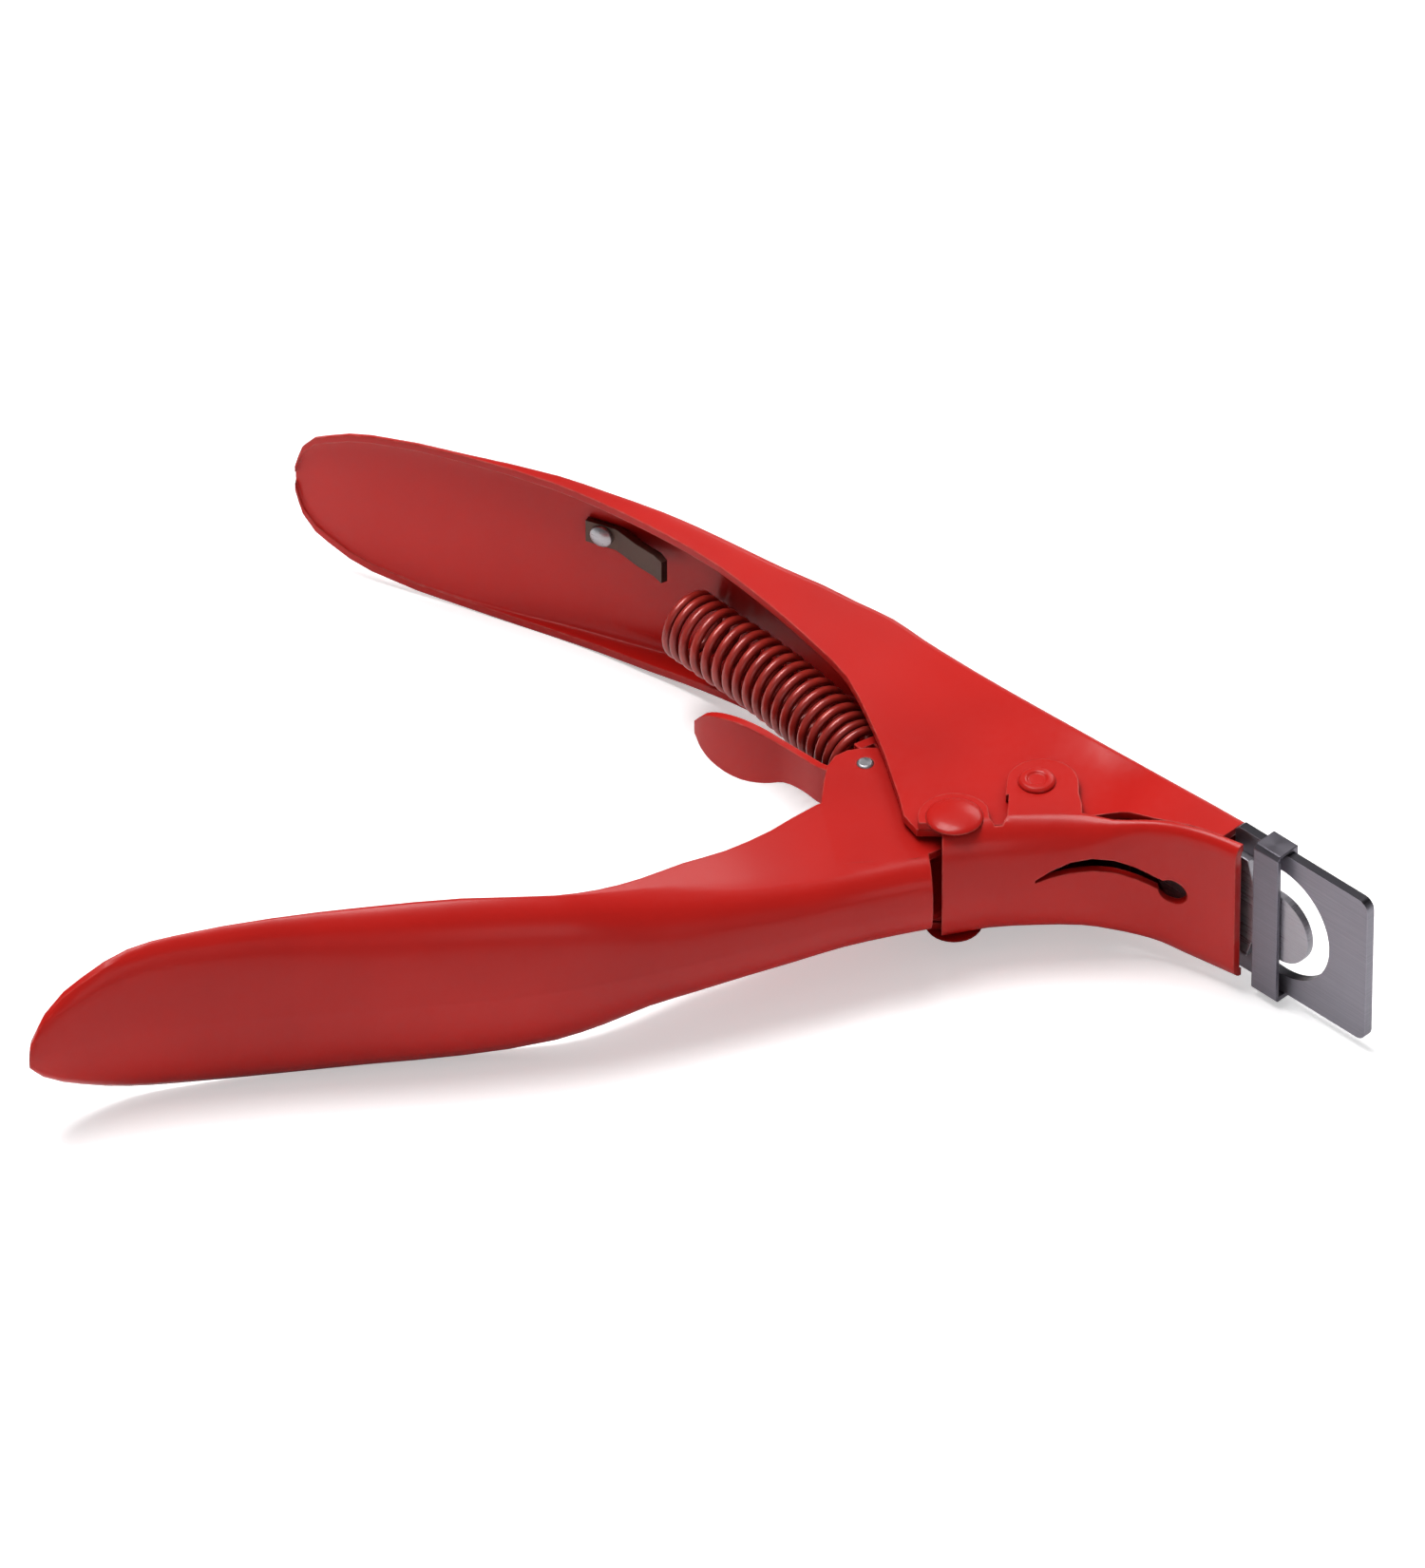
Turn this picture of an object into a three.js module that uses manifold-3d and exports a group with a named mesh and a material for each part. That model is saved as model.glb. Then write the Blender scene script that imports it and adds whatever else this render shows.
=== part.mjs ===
// Guillotine nail clipper: a plier-like hand tool whose squeezed lever pushes a
// sliding blade across a round aperture. Millimetres, +Z along the hinge axis.
// The hinge axis passes through X = Y = 0 and the flat face of the lower
// hinge-rivet head lies on Z = 0. The nose points to +X -Y; the two handles
// reach towards -X, the frame handle on the +Y side and the lever on the -Y side.
// Pieces are modelled about the mid plane and lifted by HINGE_FACE when added.
//
// Nose frame: u runs along the nose from the hinge axis, n is square to it in
// the XY plane, and z is shared with the world.
import * as THREE from "three";
import Module from "manifold-3d";

// ---- driving dimensions ----
const SHEET = 0.9;            // pressed sheet thickness
const NOSE_ANGLE = -44.0;     // nose direction in the XY plane, degrees
const SPINE_N = 9.8;          // outer face of the frame spine
const FRAME_HALF = 6.1;       // frame walls, outer face at the head
const EAR_HALF = 7.15;        // ears of the nose channel, outer face
const LEVER_HALF = 4.6;       // lever walls, outer face near the hinge
const LEVER_INNER = LEVER_HALF - SHEET;

const PIVOT_R = 1.5;
const PIVOT_HOLE_R = 1.8;     // running hole in the lever and spacer
const PIVOT_HEAD = 0.9;
const HINGE_FACE = EAR_HALF + PIVOT_HEAD; // lower head face to mid plane

const PLATE_TOP = 8.45;       // aperture plate, outer face (n)
const PLATE_BOTTOM = 7.4;     // aperture plate, cutting face (n)
const PLATE_END = 39.4;
const PLATE_HALF = 9.2;
const PLATE_CORNER_R = 1.2;
const APERTURE_U = 27.35;
const APERTURE_R = 6.9;

const BLADE_TOP = 7.35;
const BLADE_BOTTOM = 6.5;
const SHANK_HALF = 3.3;       // blade shank and yoke
const TONGUE_HALF = 4.2;
const TONGUE_APEX = 32.1;

const DRIVE_U = -1.734;       // drive pin at rest
const DRIVE_N = 6.472;
const DRIVE_R = 0.8;
const ROLLER_R = 1.15;

const LATCH_X = -17.6;
const LATCH_Y = 6.0;
const LATCH_PIN_R = 0.9;

// Facets around the round parts.
const PIVOT_SEG = 32;
const EAR_SEG = 28;
const PIN_SEG = 24;
const ANCHOR_SEG = 20;

const CHANNEL_STEPS = 2;      // subdivisions between channel stations
const CORNER_STEPS = 6;       // facets of a channel's rounded corner
const THROUGH = 9;            // half length of a bore that clears every wall

const RAD = Math.PI / 180;
const SIDES = [["near", 1], ["far", -1]]; // near is +Z

// ---- local frames ----
// Maps (along, across) to XY; across is dir turned a quarter anticlockwise.
const planeFrame = (origin, dir) => (along, across) => [
  origin[0] + dir[0] * along - dir[1] * across,
  origin[1] + dir[1] * along + dir[0] * across,
];
const NOSE_DIR = [Math.cos(NOSE_ANGLE * RAD), Math.sin(NOSE_ANGLE * RAD), 0];
const NOSE_NORMAL = [-NOSE_DIR[1], NOSE_DIR[0], 0];
const Z_AXIS = [0, 0, 1];
const onNose = planeFrame([0, 0], NOSE_DIR);
const onSpine = (u) => onNose(u, SPINE_N);

// ---- solids and booleans ----
const wasm = await Module();
wasm.setup();

// Welds a triangle geometry into a Manifold whose faces point outwards.
function solid(geometry) {
  const flat = geometry.index ? geometry.toNonIndexed() : geometry;
  const position = flat.attributes.position;
  const indexOf = new Map();
  const vertices = [];
  const triangles = [];
  for (let i = 0; i < position.count; i += 3) {
    const corners = [];
    for (let k = i; k < i + 3; k++) {
      const point = [position.getX(k), position.getY(k), position.getZ(k)];
      const key = point.map((value) => Math.round(value * 1e4)).join();
      if (!indexOf.has(key)) {
        indexOf.set(key, vertices.length / 3);
        vertices.push(...point);
      }
      corners.push(indexOf.get(key));
    }
    if (new Set(corners).size === 3) triangles.push(corners);
  }
  const build = (list) => new wasm.Manifold(new wasm.Mesh({
    numProp: 3,
    vertProperties: Float32Array.from(vertices),
    triVerts: Uint32Array.from(list.flat()),
  }));
  const result = build(triangles);
  return result.volume() < 0 ? build(triangles.map(([a, b, c]) => [a, c, b])) : result;
}

const join = (...parts) => parts.reduce((a, b) => a.add(b));
const cut = (body, ...tools) => tools.reduce((rest, tool) => rest.subtract(tool), body);

function toGeometry(manifold) {
  const mesh = manifold.getMesh();
  const geometry = new THREE.BufferGeometry();
  const positions = Float32Array.from(mesh.vertProperties);
  geometry.setAttribute("position", new THREE.BufferAttribute(positions, 3));
  geometry.setIndex(new THREE.BufferAttribute(Uint32Array.from(mesh.triVerts), 1));
  geometry.computeVertexNormals();
  return geometry;
}

// ---- outlines ----
const circle = (r, count) => Array.from({ length: count }, (_, i) => {
  const angle = (i * 2 * Math.PI) / count;
  return [r * Math.cos(angle), r * Math.sin(angle)];
});
const arc = (cx, cy, r, startDeg, endDeg, steps) =>
  Array.from({ length: steps + 1 }, (_, i) => {
    const angle = (startDeg + ((endDeg - startDeg) * i) / steps) * RAD;
    return [cx + r * Math.cos(angle), cy + r * Math.sin(angle)];
  });
// Closes a half outline at negative z with its mirror image at positive z.
const mirrored = (half, middle = []) =>
  [...half, ...middle, ...half.map(([a, z]) => [a, -z]).reverse()];

// ---- basic solids ----
const vectors = (points) => points.map(([a, b]) => new THREE.Vector2(a, b));

function extrude(points, depth, holes = []) {
  const shape = new THREE.Shape(vectors(points));
  shape.holes = holes.map((hole) => new THREE.Path(vectors(hole)));
  return new THREE.ExtrudeGeometry(shape, { depth, bevelEnabled: false });
}
// Outline in the first two axes, extruded along the third from origin.
function prismIn(axes, origin, points, depth, holes) {
  const matrix = new THREE.Matrix4().makeBasis(...axes.map((a) => new THREE.Vector3(...a)));
  matrix.setPosition(...origin);
  return solid(extrude(points, depth, holes).applyMatrix4(matrix));
}
const prismXY = (points, z0, z1) => solid(extrude(points, z1 - z0).translate(0, 0, z0));
// Outline in (u, z), filling n0 to n1.
const prismUZ = (points, n0, n1, holes) => prismIn(
  [NOSE_DIR, Z_AXIS, NOSE_NORMAL.map((v) => -v)], [...onNose(0, n1), 0], points, n1 - n0, holes);
// The same XY prism on both sides of the mid plane.
const prismPair = (points, zInner, zOuter) =>
  join(prismXY(points, zInner, zOuter), prismXY(points, -zOuter, -zInner));

function cylinderZ(x, y, r, z0, z1, segments) {
  const geometry = new THREE.CylinderGeometry(r, r, z1 - z0, segments);
  geometry.rotateX(Math.PI / 2);
  geometry.translate(x, y, (z0 + z1) / 2);
  return solid(geometry);
}
const boreZ = (x, y, r, segments) => cylinderZ(x, y, r, -THROUGH, THROUGH, segments);

// Turned piece: profile of [radius, height] from the axis back to the axis,
// set at a base point with its axis along dir.
function turned(profile, base, dir, segments) {
  const geometry = new THREE.LatheGeometry(vectors(profile), segments);
  geometry.applyQuaternion(new THREE.Quaternion().setFromUnitVectors(
    new THREE.Vector3(0, 1, 0), new THREE.Vector3(...dir).normalize()));
  geometry.translate(...base);
  return solid(geometry);
}
const rod = (r, length, base, dir, segments) =>
  turned([[0, 0], [r, 0], [r, length], [0, length]], base, dir, segments);
const boreN = (u, z, r, n0, n1) =>
  rod(r, n1 - n0, [...onNose(u, n0), z], NOSE_NORMAL, PIN_SEG);

// ---- lofted sheet ----
// Smooth cubic interpolation of rows; the first two columns set the spacing.
function resample(rows, steps) {
  const spacing = (a, b) => Math.hypot(b[0] - a[0], b[1] - a[1]);
  const out = [];
  for (let i = 0; i < rows.length - 1; i++) {
    const [before, from, to, after] = [rows[i - 1], rows[i], rows[i + 1], rows[i + 2]];
    const length = spacing(from, to);
    for (let k = 0; k < steps; k++) {
      const t = k / steps;
      const t2 = t * t;
      const t3 = t2 * t;
      out.push(from.map((start, j) => {
        const rise = to[j] - start;
        const slope = rise / length;
        const startTangent = before
          ? ((start - before[j]) / spacing(before, from) + slope) * 0.5 * length : rise;
        const endTangent = after
          ? (slope + (after[j] - to[j]) / spacing(to, after)) * 0.5 * length : rise;
        return (2 * t3 - 3 * t2 + 1) * start + (t3 - 2 * t2 + t) * startTangent
          + (-2 * t3 + 3 * t2) * to[j] + (t3 - t2) * endTangent;
      }));
    }
  }
  out.push(rows[rows.length - 1]);
  return out;
}

function solidFromQuads(quads) {
  const positions = quads.flatMap(([a, b, c, d]) => [a, b, c, a, c, d]).flat();
  const geometry = new THREE.BufferGeometry();
  geometry.setAttribute("position",
    new THREE.BufferAttribute(Float32Array.from(positions), 3));
  return solid(geometry);
}

// Outer and inner lines of a channel, rim to rim over the spine.
function channelSection([spineX, spineY, rimX, rimY, half, cornerZ, cornerDepth, rimHalf]) {
  const depth = Math.hypot(rimX - spineX, rimY - spineY);
  const dir = [(rimX - spineX) / depth, (rimY - spineY) / depth];
  // Keep the corner inside the section and rounder than the sheet is thick.
  const roundZ = Math.min(cornerZ, half - 0.02);
  const roundDepth = Math.max(SHEET + 0.15, Math.min(cornerDepth, depth - 0.02));
  const kneeDepth = roundDepth + 0.3 * (depth - roundDepth);
  const rimInner = Math.max(rimHalf - SHEET, 0.01);
  const outer = [[rimHalf, depth], [rimHalf, kneeDepth]];
  const inner = [[rimInner, depth], [rimInner, kneeDepth]];
  for (let k = 0; k <= CORNER_STEPS; k++) {
    const angle = (k / CORNER_STEPS) * Math.PI / 2;
    const cos = Math.cos(angle);
    const sin = Math.sin(angle);
    // Least inner width, so that points stay apart where the channel is narrow.
    const leastZ = 0.008 * (CORNER_STEPS + 1 - k);
    outer.push([half - roundZ + roundZ * cos, roundDepth - roundDepth * sin]);
    inner.push([
      Math.max(half - roundZ + (roundZ - SHEET) * cos, leastZ),
      roundDepth - (roundDepth - SHEET) * sin,
    ]);
  }
  const place = ([z, d]) => [spineX + dir[0] * d, spineY + dir[1] * d, z];
  const wholeLine = (line, spineDepth) =>
    [...line, [0, spineDepth], ...line.map(([z, d]) => [-z, d]).reverse()].map(place);
  return { outer: wholeLine(outer, 0), inner: wholeLine(inner, SHEET) };
}

// Pressed channel: rows of
// [spineX, spineY, rimX, rimY, halfWidth, cornerZ, cornerDepth, rimHalfWidth];
// the rim is as wide as the spine where the last column is left out.
function channel(rows) {
  const fullRows = rows.map((row) => (row.length > 7 ? row : [...row, row[4]]));
  const sections = resample(fullRows, CHANNEL_STEPS).map(channelSection);
  const first = sections[0];
  const last = sections[sections.length - 1];
  const end = first.outer.length - 1;
  const quads = [];
  for (let s = 0; s < sections.length - 1; s++) {
    const { outer: outerA, inner: innerA } = sections[s];
    const { outer: outerB, inner: innerB } = sections[s + 1];
    for (let k = 0; k < end; k++) {
      quads.push([outerA[k], outerB[k], outerB[k + 1], outerA[k + 1]]);
      quads.push([innerA[k], innerA[k + 1], innerB[k + 1], innerB[k]]);
    }
    quads.push([outerA[0], innerA[0], innerB[0], outerB[0]]);
    quads.push([outerA[end], outerB[end], innerB[end], innerA[end]]);
  }
  for (let k = 0; k < end; k++) {
    quads.push([first.outer[k], first.outer[k + 1], first.inner[k + 1], first.inner[k]]);
    quads.push([last.outer[k], last.inner[k], last.inner[k + 1], last.outer[k + 1]]);
  }
  return solidFromQuads(quads);
}

// Flat strip following a path: rows of [x, y, halfWidth, thickness].
function strip(rows, steps) {
  const path = resample(rows, steps);
  const sections = path.map(([x, y, half, thickness], i) => {
    const before = path[Math.max(0, i - 1)];
    const after = path[Math.min(path.length - 1, i + 1)];
    const length = Math.hypot(after[0] - before[0], after[1] - before[1]);
    const offX = (-(after[1] - before[1]) / length * thickness) / 2;
    const offY = ((after[0] - before[0]) / length * thickness) / 2;
    return [
      [x + offX, y + offY, half], [x + offX, y + offY, -half],
      [x - offX, y - offY, -half], [x - offX, y - offY, half],
    ];
  });
  const quads = [sections[0], sections[sections.length - 1].slice().reverse()];
  for (let s = 0; s < sections.length - 1; s++) {
    const [a, b] = [sections[s], sections[s + 1]];
    for (let k = 0; k < 4; k++) {
      const next = (k + 1) % 4;
      quads.push([a[k], b[k], b[next], a[next]]);
    }
  }
  return solidFromQuads(quads);
}

// ---- materials ----
const material = (name, color, roughness, metalness) =>
  new THREE.MeshStandardMaterial({ name, color, roughness, metalness });
const PAINT_FINISH = [0.35, 0.1]; // roughness, metalness
const STEEL_FINISH = [0.35, 0.9];
const DARK_FINISH = [0.45, 0.9];
const RED = material("red_paint", 0xc0261f, ...PAINT_FINISH);
const STEEL = material("steel", 0x8f8c92, ...STEEL_FINISH);
const DARK = material("dark_steel", 0x3b3838, ...DARK_FINISH);

const group = new THREE.Group();
group.name = "guillotine_nail_clipper";
function add(name, manifold, surface) {
  const mesh = new THREE.Mesh(toGeometry(manifold).translate(0, 0, HINGE_FACE), surface);
  mesh.name = name;
  group.add(mesh);
}

// ---- joints shared between pieces ----
const EAR_RIVET_X = -8.5;
const EAR_RIVET_Y = -5.6;
const EAR_RIVET_R = 1.1;
const earHoles = () => [
  boreZ(0, 0, PIVOT_R, PIVOT_SEG),
  boreZ(EAR_RIVET_X, EAR_RIVET_Y, EAR_RIVET_R, EAR_SEG),
];

const PLATE_RIVET_U = 16.4;
const PLATE_RIVET_Z = 3.7;
const PLATE_RIVET_R = 0.95;
const plateRivetHoles = () => SIDES.map(([, side]) =>
  boreN(PLATE_RIVET_U, side * PLATE_RIVET_Z, PLATE_RIVET_R, 7, 11));

const ANCHOR_DIR = [-0.43, -0.903, 0]; // from the frame spine into the channel
const ANCHOR_Z = 4.6;
const ANCHOR_RIVET_R = 0.7;
const atAnchor = planeFrame([-44.1, 44.5], ANCHOR_DIR);
const anchorBore = (length) =>
  rod(ANCHOR_RIVET_R, length, [...atAnchor(-1, 0), ANCHOR_Z], ANCHOR_DIR, ANCHOR_SEG);

// ---- frame handle: spine, side walls, flared nose ----
const FRAME_ROWS = [ // channel columns, handle tip to nose
  [-76.8, 59.3, -77.1, 58.0, 1.6, 1.2, 1.1],
  [-75.9, 58.8, -76.3, 57.6, 4.5, 2.0, 1.1],
  [-73.2, 57.3, -73.7, 56.1, 7.1, 2.4, 1.1],
  [-68.6, 54.9, -69.1, 53.7, 9.1, 2.8, 1.1],
  [-58.8, 50.5, -59.4, 49.2, 10.2, 3.0, 1.2],
  [-49.0, 46.7, -50.0, 44.5, 10.4, 2.8, 1.3],
  [-44.1, 44.5, -45.4, 41.8, 10.2, 3.0, 1.5],
  [-38.1, 41.45, -40.0, 38.2, 9.85, 2.4, 1.5],
  [-34.2, 39.3, -36.3, 35.6, 9.4, 2.0, 1.5],
  [-29.9, 36.7, -32.5, 32.6, 8.85, 1.8, 1.5],
  [-25.7, 34.2, -29.1, 29.4, 8.2, 1.6, 1.4],
  [-21.7, 32.1, -25.6, 25.6, 7.6, 1.4, 1.3],
  [-18.2, 30.0, -22.4, 21.8, 7.0, 1.3, 1.2],
  [...onSpine(-29.5), -19.5, 17.6, 6.65, 1.2, 1.15],
  [...onSpine(-25.0), -17.4, 12.0, 6.35, 1.15, 1.1, 6.25],
  [...onSpine(-20.0), -15.6, 5.6, 6.3, 1.1, 1.1, FRAME_HALF],
  [...onSpine(-15.0), -14.2, -1.0, 6.4, 1.1, 1.1, FRAME_HALF],
  [...onSpine(-10.0), -12.4, -6.4, 6.6, 1.1, 1.1, FRAME_HALF],
  [...onSpine(-6.0), -6.2, -5.9, 6.8, 1.1, 1.1, FRAME_HALF],
  [...onSpine(-2.0), 0.0, -5.2, 7.0, 1.1, 1.1, FRAME_HALF],
  [...onSpine(2.0), 4.0, -4.6, 7.2, 1.1, 1.1, FRAME_HALF],
  [...onSpine(5.0), 7.4, -4.4, 7.4, 1.2, 1.1, 6.6],
  [...onSpine(8.2), ...onNose(10.4, 2.7), 7.6, 1.3, 1.1, 7.5],
  [...onSpine(12.0), ...onNose(13.2, 3.5), 7.85, 1.4, 1.1],
  [...onSpine(16.5), ...onNose(17.0, 5.1), 8.1, 1.4, 1.1],
  [...onSpine(20.6), ...onNose(20.6, 6.0), 8.25, 1.4, 1.1],
];
add("frame_handle",
  cut(channel(FRAME_ROWS), ...earHoles(), anchorBore(2.4), ...plateRivetHoles()), RED);

// ---- nose channel under the frame: ears, bottom plate, slot ----
const NOSE_ROWS = [ // channel columns, back to nose
  [-9.8, -10.4, -9.8, -6.3, EAR_HALF, 6.6, 3.5],
  [-4.9, -9.1, -4.9, -5.0, EAR_HALF, 6.6, 3.5],
  [0.0, -8.6, 0.0, -4.6, EAR_HALF, 6.4, 3.4],
  [4.6, -8.15, 4.7, -5.0, EAR_HALF, 5.4, 2.8],
  [7.6, -7.85, 7.8, -6.1, 7.2, 4.0, 1.6],
  [10.2, -7.85, 10.7, -6.6, 7.6, 2.8, 1.15],
  [12.6, -8.4, 13.2, -7.2, 8.0, 2.2, 1.1],
  [14.7, -9.4, 15.4, -8.4, 8.4, 2.0, 1.1],
  [17.2, -10.8, 18.0, -9.9, 8.65, 1.8, 1.1],
  [20.2, -12.75, 21.0, -11.85, 8.75, 1.6, 1.1],
];
const SHALLOW_LIMIT = 1.3;
const SHALLOW_DEPTH = 1.2;
// Rows shallower than the limit all get the same depth.
function levelShallow(row) {
  const [spineX, spineY, rimX, rimY, ...rest] = row;
  const depth = Math.hypot(rimX - spineX, rimY - spineY);
  if (depth >= SHALLOW_LIMIT) return row;
  const scale = SHALLOW_DEPTH / depth;
  return [
    spineX, spineY,
    spineX + (rimX - spineX) * scale, spineY + (rimY - spineY) * scale, ...rest,
  ];
}
const EAR_OUTLINE = [ // [x, y]
  ...arc(0.6, 0.0, 3.7, 0, 180, 16),
  [-3.3, -3.6], [-4.4, -4.6], ...arc(EAR_RIVET_X, EAR_RIVET_Y, 3.8, 18, 175, 14),
  [-12.2, -6.6], [-9.8, -6.6],
  [-4.9, -5.4], [0.0, -5.0], [4.6, -5.2], [4.6, -3.6], [4.3, -1.8],
];
const EAR_NOTCH = [ // [x, y]
  [-2.9, -2.0], [-3.1, -5.4], [-3.6, -6.5], [-4.4, -6.6], [-4.9, -5.7], [-5.2, -3.0],
];
const SLOT_LINE = [ // [x, z, half width]
  [-0.2, 0.9, 0.16], [1.4, 1.75, 0.42], [3.4, 2.45, 0.66], [5.6, 2.7, 0.78],
  [7.8, 2.35, 0.8], [10.0, 1.5, 0.76], [12.0, 0.6, 0.72], [13.8, 0.0, 0.7],
];
const SLOT_TOP = -3; // y
const SLOT_DEPTH = 11;
// Arched crescent that ends in a round eye, cut along Y.
function slot() {
  const outline = [
    ...SLOT_LINE.map(([x, z, half]) => [x, z - half]),
    ...SLOT_LINE.map(([x, z, half]) => [x, z + half]).reverse(),
  ];
  const axes = [[1, 0, 0], Z_AXIS, [0, -1, 0]];
  const eyeBase = [13.9, SLOT_TOP - SLOT_DEPTH, -0.1];
  return join(
    prismIn(axes, [0, SLOT_TOP, 0], outline, SLOT_DEPTH),
    rod(1.5, SLOT_DEPTH, eyeBase, [0, 1, 0], EAR_SEG));
}
add("nose_channel", cut(
  join(channel(NOSE_ROWS.map(levelShallow)),
    prismPair(EAR_OUTLINE, EAR_HALF - SHEET, EAR_HALF)),
  ...earHoles(), slot(), prismPair(EAR_NOTCH, 5, 8)), RED);

// ---- aperture plate ----
const PLATE_OUTLINE = mirrored([ // [u, z]
  [11.5, -4.4], [14.0, -5.6], [20.7, -5.6], [21.0, -5.9], [21.0, -8.7], [21.5, -PLATE_HALF],
  ...arc(PLATE_END - PLATE_CORNER_R, PLATE_CORNER_R - PLATE_HALF, PLATE_CORNER_R, -90, 0, 5),
]);
const APERTURE = circle(APERTURE_R, 72).map(([u, z]) => [u + APERTURE_U, z]);
add("aperture_plate", cut(
  prismUZ(PLATE_OUTLINE, PLATE_BOTTOM, PLATE_TOP, [APERTURE]), ...plateRivetHoles()), STEEL);

// ---- guide strap wrapped round the plate edges ----
const STRAP_START = 24.9;
const STRAP_END = 28.3;
const STRAP_TOP = PLATE_TOP + 0.5;
const STRAP_SECTION = mirrored([ // [n, z]
  [5.9, -9.3], [6.3, -9.75], [STRAP_TOP, -9.75], [STRAP_TOP, -8.0], [PLATE_TOP, -8.0],
  [PLATE_TOP, -PLATE_HALF], [6.42, -PLATE_HALF],
]);
add("blade_guide_strap", prismIn([NOSE_NORMAL, Z_AXIS, NOSE_DIR],
  [...onNose(STRAP_START, 0), 0], STRAP_SECTION, STRAP_END - STRAP_START), STEEL);

// ---- rivets of the frame; profiles are [radius, height] ----
const PIVOT_SHOULDER = PIVOT_HEAD + 2 * EAR_HALF;
add("pivot_rivet", turned([
  [0, 0], [2.35, 0], [2.7, 0.3], [2.7, PIVOT_HEAD], [PIVOT_R, PIVOT_HEAD],
  [PIVOT_R, PIVOT_SHOULDER], [1.95, PIVOT_SHOULDER], [1.95, PIVOT_SHOULDER + 0.25],
  [1.65, PIVOT_SHOULDER + 0.5], [1.15, PIVOT_SHOULDER + 0.55],
  [0.9, PIVOT_SHOULDER + 0.35], [0, PIVOT_SHOULDER + 0.3],
], [0, 0, -HINGE_FACE], Z_AXIS, PIVOT_SEG), STEEL);

const EAR_SHANK = 1.9;
const EAR_RIVET = [
  [0, 0], [EAR_RIVET_R, 0], [EAR_RIVET_R, EAR_SHANK], [3.0, EAR_SHANK],
  [2.9, 2.05], [2.5, 2.25], [1.8, 2.42], [0.9, 2.5], [0, 2.52],
];
for (const [name, side] of SIDES) {
  const base = [EAR_RIVET_X, EAR_RIVET_Y, side * (EAR_HALF - EAR_SHANK)];
  add(`channel_rivet_${name}`, turned(EAR_RIVET, base, [0, 0, side], EAR_SEG), RED);
}

const PLATE_SHANK = SPINE_N - PLATE_BOTTOM;
const PLATE_RIVET = [
  [0, 0], [PLATE_RIVET_R, 0], [PLATE_RIVET_R, PLATE_SHANK], [1.7, PLATE_SHANK],
  [1.6, PLATE_SHANK + 0.35], [1.0, PLATE_SHANK + 0.6], [0, PLATE_SHANK + 0.68],
];
for (const [name, side] of SIDES) {
  const base = [...onNose(PLATE_RIVET_U, PLATE_BOTTOM), side * PLATE_RIVET_Z];
  add(`plate_rivet_${name}`, turned(PLATE_RIVET, base, NOSE_NORMAL, PIN_SEG), STEEL);
}

// ---- lever handle ----
const LEVER_ROWS = [ // channel columns, handle tip to hinge
  [-102.9, -35.9, -102.7, -34.4, 1.6, 1.5, 1.3],
  [-101.8, -35.1, -101.3, -32.9, 4.0, 3.8, 2.0],
  [-98.0, -33.4, -97.6, -30.7, 6.9, 6.6, 2.5],
  [-93.1, -31.5, -92.9, -28.7, 9.0, 8.7, 2.7],
  [-88.2, -30.4, -88.1, -27.4, 9.7, 9.4, 2.9],
  [-78.4, -28.9, -78.3, -25.2, 10.15, 9.9, 3.5],
  [-68.6, -27.9, -68.6, -23.4, 10.15, 9.9, 4.2],
  [-58.8, -26.7, -58.9, -22.0, 10.1, 9.9, 4.4],
  [-49.0, -25.0, -49.4, -20.6, 9.3, 9.1, 4.2],
  [-44.0, -23.6, -45.0, -18.6, 8.4, 8.2, 4.4],
  [-39.2, -22.0, -40.8, -15.6, 7.3, 7.1, 4.8],
  [-34.3, -20.3, -36.4, -12.0, 6.35, 6.1, 4.2],
  [-29.4, -18.4, -32.0, -9.0, 5.5, 5.2, 3.4],
  [-24.5, -16.6, -27.4, -5.2, 4.95, 4.6, 3.2],
  [-19.6, -14.6, -22.6, -0.6, LEVER_HALF, 4.2, 3.1],
  [-14.7, -12.9, -17.6, 1.5, LEVER_HALF, 4.2, 3.1],
  [-10.7, -11.7, -12.8, 2.2, LEVER_HALF, 4.2, 3.1],
];
const [DRIVE_X, DRIVE_Y] = onNose(DRIVE_U, DRIVE_N);
const LEVER_WALL = [ // [x, y]
  [-22.2, -0.8], [-21.9, 3.0], [-21.5, 5.6], [-20.7, 7.2], [-19.4, 8.1], [-17.4, 8.5],
  [-15.2, 8.5], [-13.6, 8.1], [-12.0, 7.5], [-8.5, 6.8], [-3.5, 6.4], [1.2, 6.75],
  ...arc(DRIVE_X, DRIVE_Y, 1.4, 120, -30, 8),
  [3.55, 2.6], ...arc(0, 0, 3.3, 25, -90, 9),
  [-4.0, -4.4], [-8.0, -6.6], [-11.4, -8.6], [-12.4, -9.2], [-20.5, -10.0],
];
const runningHole = () => boreZ(0, 0, PIVOT_HOLE_R, PIVOT_SEG);
const driveHole = () => boreZ(DRIVE_X, DRIVE_Y, DRIVE_R, PIN_SEG);
const latchHole = (r) => boreZ(LATCH_X, LATCH_Y, r, PIN_SEG);
add("lever_handle", cut(
  join(channel(LEVER_ROWS), prismPair(LEVER_WALL, LEVER_INNER, LEVER_HALF)),
  runningHole(), driveHole(), latchHole(LATCH_PIN_R)), RED);

// ---- pins and spacers in the lever ----
const betweenWalls = (x, y, r, segments) =>
  cylinderZ(x, y, r, -LEVER_INNER, LEVER_INNER, segments);
add("pivot_spacer", cut(betweenWalls(0, 0, 2.8, PIVOT_SEG), runningHole()), STEEL);

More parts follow.
